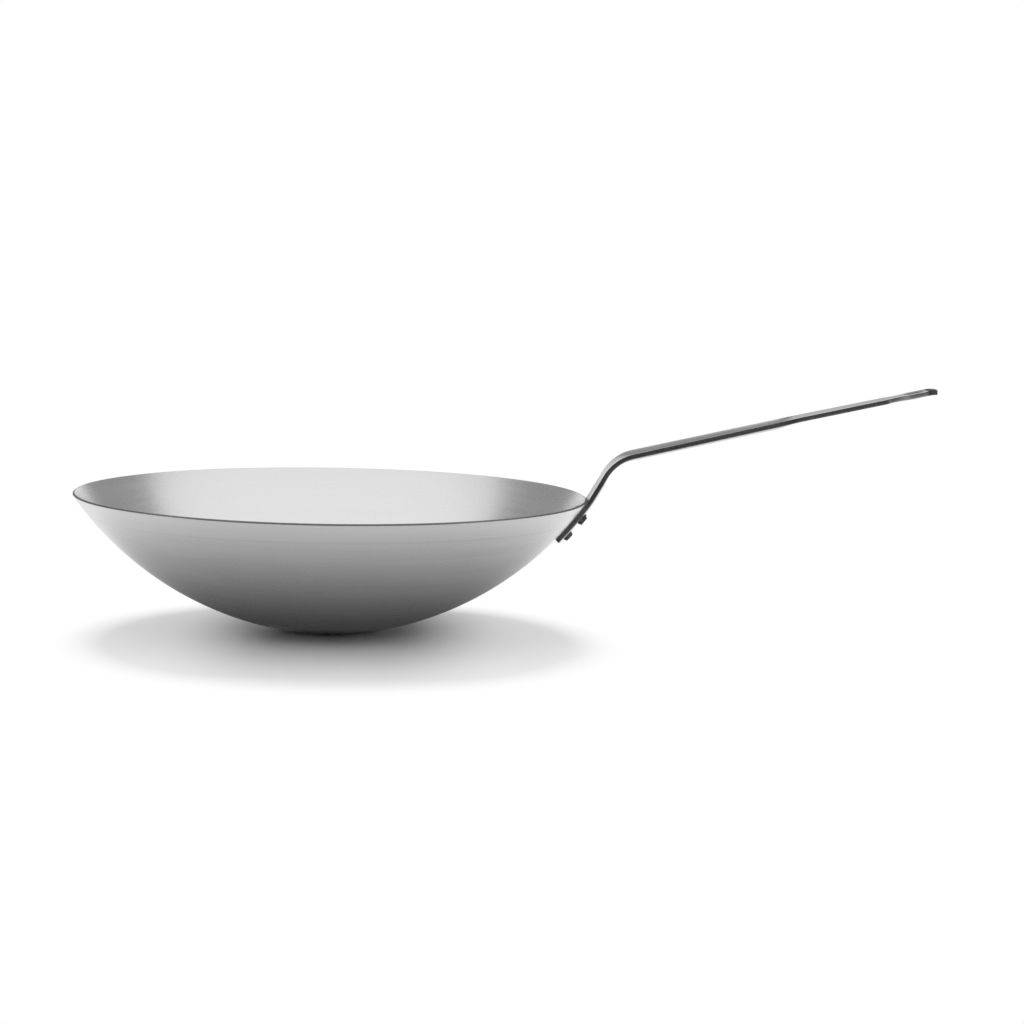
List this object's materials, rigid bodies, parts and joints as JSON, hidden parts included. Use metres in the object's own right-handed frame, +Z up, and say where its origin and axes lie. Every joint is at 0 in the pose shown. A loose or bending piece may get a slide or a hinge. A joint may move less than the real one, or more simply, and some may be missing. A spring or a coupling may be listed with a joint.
{
  "type": "wok",
  "caption": "Carbon steel wok: a wide pressed bowl with a small flat base and a long riveted strip handle that ends in a hanging hole.",
  "frame": {"origin": "middle of the flat base's underside", "axes": "+Z up out of the bowl, +X from the bowl's middle towards the end of the handle"},
  "size_m": [0.586, 0.3496, 0.1721],
  "materials": {
    "bowl_steel": "satin uncoated carbon steel",
    "handle_steel": "satin dark strip steel with sheared edges",
    "rivet_steel": "dark hammered steel"
  },
  "bodies": {
    "root": {"wok_body": "bowl_steel", "handle": "handle_steel", "rivet_upper_near": "rivet_steel", "rivet_upper_far": "rivet_steel", "rivet_lower": "rivet_steel"}
  },
  "joints": []
}
